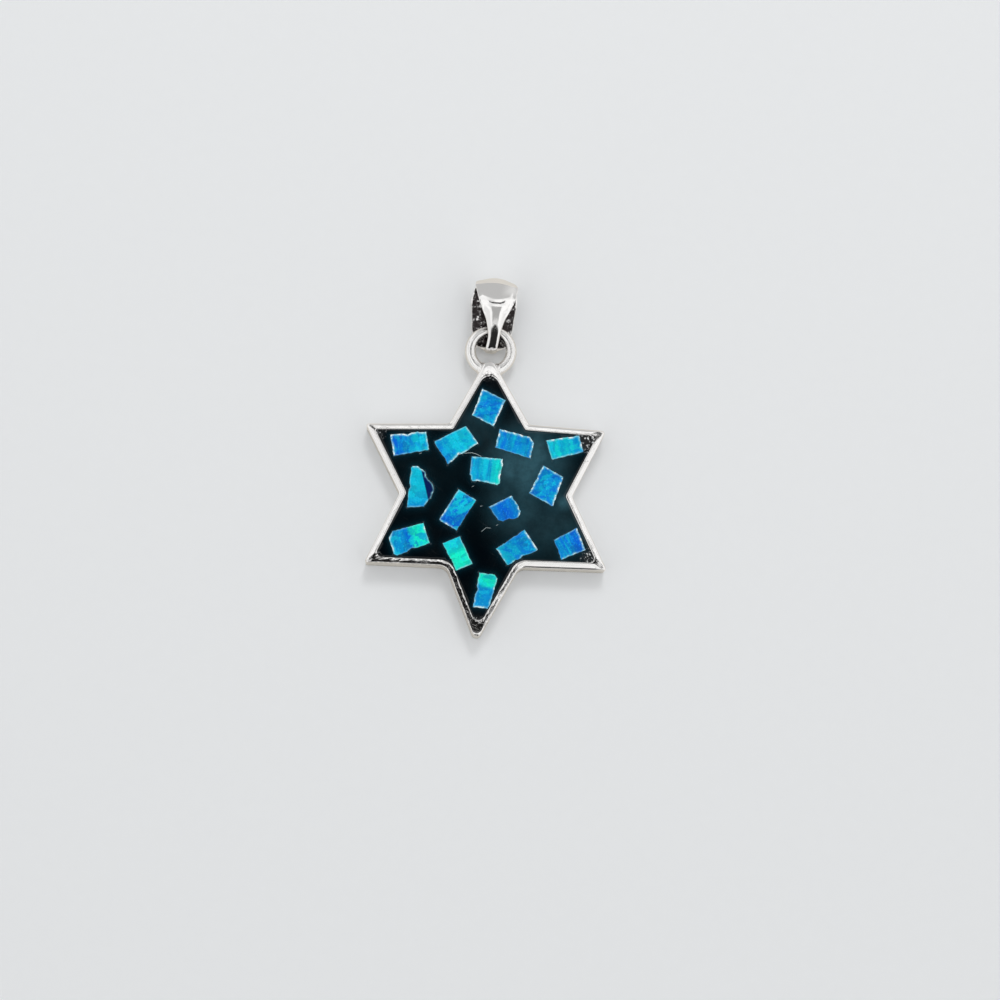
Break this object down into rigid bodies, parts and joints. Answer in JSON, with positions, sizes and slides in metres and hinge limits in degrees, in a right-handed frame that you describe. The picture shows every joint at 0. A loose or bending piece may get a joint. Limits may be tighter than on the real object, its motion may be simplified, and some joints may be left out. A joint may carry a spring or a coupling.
{
  "type": "star of david pendant",
  "caption": "Silver six-pointed star pendant with dark resin and opal chip inlay, soldered jump ring and tapered bail.",
  "frame": {"origin": "middle of the star setting's flat back", "axes": "+X to the right of the star seen from the front, +Y from the star's centre towards the bail, +Z from the flat back towards the face with the inlay"},
  "size_m": [0.0218, 0.0325, 0.0042],
  "materials": {
    "silver": "mirror-polished sterling silver",
    "resin": "ground and polished near-black blue-green casting resin",
    "opal": "polished blue and green opal chips with play of colour"
  },
  "bodies": {
    "root": {"star_setting": "silver", "resin": "resin", "bail": "silver", "opal_01": "opal", "opal_02": "opal", "opal_03": "opal", "opal_04": "opal", "opal_05": "opal", "opal_06": "opal", "opal_07": "opal", "opal_08": "opal", "opal_09": "opal", "opal_10": "opal", "opal_11": "opal", "opal_12": "opal", "opal_13": "opal", "opal_14": "opal", "opal_15": "opal"}
  },
  "joints": []
}
